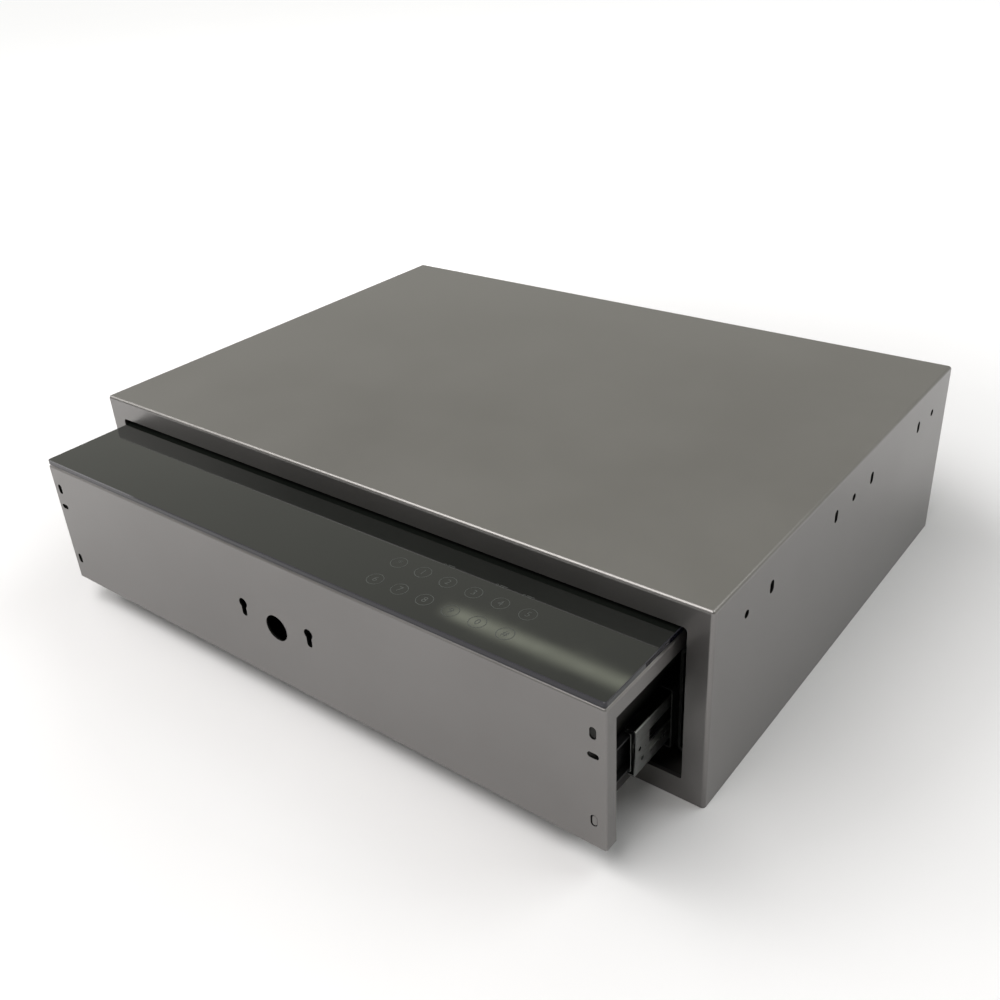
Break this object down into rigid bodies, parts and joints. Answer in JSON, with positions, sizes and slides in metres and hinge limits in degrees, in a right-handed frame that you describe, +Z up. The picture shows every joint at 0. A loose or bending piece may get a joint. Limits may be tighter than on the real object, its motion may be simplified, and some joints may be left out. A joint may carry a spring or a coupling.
{
  "type": "locking drawer safe",
  "caption": "Low steel drawer safe: a folded housing with a telescopic drawer, touch keypad under a glass top edge, motor driven side bolts and an override key lock.",
  "frame": {"origin": "centre of the housing's base, on the surface that it stands on", "axes": "+X to the right along the width, -Y out of the drawer's front, +Z up"},
  "size_m": [0.55, 0.465, 0.145],
  "materials": {
    "paint": "warm grey metallic satin paint on steel",
    "dark_paint": "dark grey satin paint on steel",
    "zinc": "bright zinc plate on rolled steel",
    "black_steel": "black zinc plate on rolled steel",
    "steel": "plain turned and ground steel",
    "cage_brass": "dull pressed brass with steel balls",
    "gear_brass": "machined brass",
    "rubber": "matt black rubber",
    "dark_glass": "dark back-painted glass with polished edges",
    "circuit": "green solder mask",
    "felt": "dark needle felt",
    "black_plastic": "fine grained black plastic",
    "white_plastic": "off-white cable film",
    "cell_sleeve": "printed film sleeve, plain"
  },
  "bodies": {
    "housing": {"housing_shell": "paint", "base_plate": "paint", "back_panel": "paint", "slide_bracket_left": "dark_paint", "slide_bracket_right": "dark_paint", "slide_outer_left": "black_steel", "slide_outer_right": "black_steel", "rail_rivet_left_1": "steel", "rail_rivet_left_2": "steel", "rail_rivet_right_1": "steel", "rail_rivet_right_2": "steel", "rear_buffer_left": "rubber", "rear_buffer_right": "rubber"},
    "outer_cage_left": {"ball_cage_outer_left": "cage_brass"},
    "outer_cage_right": {"ball_cage_outer_right": "cage_brass"},
    "middle_left": {"slide_middle_left": "zinc", "slide_stop_left": "zinc"},
    "middle_right": {"slide_middle_right": "zinc", "slide_stop_right": "zinc"},
    "inner_cage_left": {"ball_cage_inner_left": "cage_brass"},
    "inner_cage_right": {"ball_cage_inner_right": "cage_brass"},
    "drawer": {"slide_inner_left": "black_steel", "slide_inner_right": "black_steel", "slide_screw_left_1": "steel", "slide_screw_left_2": "steel", "slide_screw_right_1": "steel", "slide_screw_right_2": "steel", "drawer_front": "paint", "glass_panel": "dark_glass", "front_plug": "paint", "keypad_board": "circuit", "drawer_tray": "paint", "tray_mat": "felt", "battery_holder": "black_plastic", "battery_cell_1": "cell_sleeve", "battery_cell_2": "cell_sleeve", "battery_cell_3": "cell_sleeve", "battery_cell_4": "cell_sleeve", "divider_panel": "paint", "battery_cover": "black_plastic", "cover_screw_1": "steel", "cover_screw_2": "steel", "bolt_guide_left": "black_plastic", "bolt_guide_right": "black_plastic", "axle_bush": "gear_brass", "gear_plate": "zinc", "lock_motor": "steel", "key_cylinder": "black_plastic", "lock_bracket": "zinc", "cylinder_nut": "zinc", "control_board": "circuit", "keypad_ribbon": "white_plastic"},
    "bolt_right": {"bolt_bar_right": "steel"},
    "bolt_left": {"bolt_bar_left": "steel"},
    "drive": {"drive_gear": "gear_brass", "drive_pin": "steel"},
    "motor_drive": {"motor_gear": "gear_brass"},
    "key": {"key_plug": "gear_brass", "key_tail": "steel"}
  },
  "joints": [
    {"name": "drawer_slide", "type": "slide", "parent": "housing", "child": "drawer", "axis": [0, -1, 0], "range_m": [-0.075, 0.275]},
    {"name": "middle_slide_left", "type": "slide", "parent": "housing", "child": "middle_left", "axis": [0, -1, 0], "range_m": [-0.0376, 0.1376]},
    {"name": "middle_slide_right", "type": "slide", "parent": "housing", "child": "middle_right", "axis": [0, -1, 0], "range_m": [-0.0376, 0.1376]},
    {"name": "outer_cage_roll_left", "type": "slide", "parent": "housing", "child": "outer_cage_left", "axis": [0, -1, 0], "range_m": [-0.0188, 0.0688]},
    {"name": "outer_cage_roll_right", "type": "slide", "parent": "housing", "child": "outer_cage_right", "axis": [0, -1, 0], "range_m": [-0.0188, 0.0688]},
    {"name": "inner_cage_roll_left", "type": "slide", "parent": "housing", "child": "inner_cage_left", "axis": [0, -1, 0], "range_m": [-0.0563, 0.2063]},
    {"name": "inner_cage_roll_right", "type": "slide", "parent": "housing", "child": "inner_cage_right", "axis": [0, -1, 0], "range_m": [-0.0563, 0.2063]},
    {"name": "bolt_slide_right", "type": "slide", "parent": "drawer", "child": "bolt_right", "axis": [1, 0, 0], "range_m": [0, 0.02]},
    {"name": "bolt_slide_left", "type": "slide", "parent": "drawer", "child": "bolt_left", "axis": [-1, 0, 0], "range_m": [0, 0.0201]},
    {"name": "drive_spin", "type": "hinge", "parent": "drawer", "child": "drive", "pos_m": [-0.0064, -0.1685, 0.0662], "axis": [0, 1, 0], "range_deg": [0, 143.4]},
    {"name": "motor_spin", "type": "hinge", "parent": "drawer", "child": "motor_drive", "pos_m": [0.0116, -0.178, 0.0662], "axis": [0, 1, 0], "range_deg": [-286.8, 0]},
    {"name": "key_turn", "type": "hinge", "parent": "drawer", "child": "key", "pos_m": [-0.0064, -0.22, 0.0662], "axis": [0, 1, 0], "range_deg": [-143.2, 0]}
  ],
  "couplings": [
    {"joint": "middle_slide_left", "follows": "drawer_slide", "ratio": 0.5},
    {"joint": "middle_slide_right", "follows": "drawer_slide", "ratio": 0.5},
    {"joint": "outer_cage_roll_left", "follows": "drawer_slide", "ratio": 0.25},
    {"joint": "outer_cage_roll_right", "follows": "drawer_slide", "ratio": 0.25},
    {"joint": "inner_cage_roll_left", "follows": "drawer_slide", "ratio": 0.75},
    {"joint": "inner_cage_roll_right", "follows": "drawer_slide", "ratio": 0.75},
    {"joint": "bolt_slide_left", "follows": "bolt_slide_right", "ratio": 1},
    {"joint": "drive_spin", "follows": "bolt_slide_right", "rad_per_m": 125},
    {"joint": "motor_spin", "follows": "bolt_slide_right", "rad_per_m": -250}
  ]
}
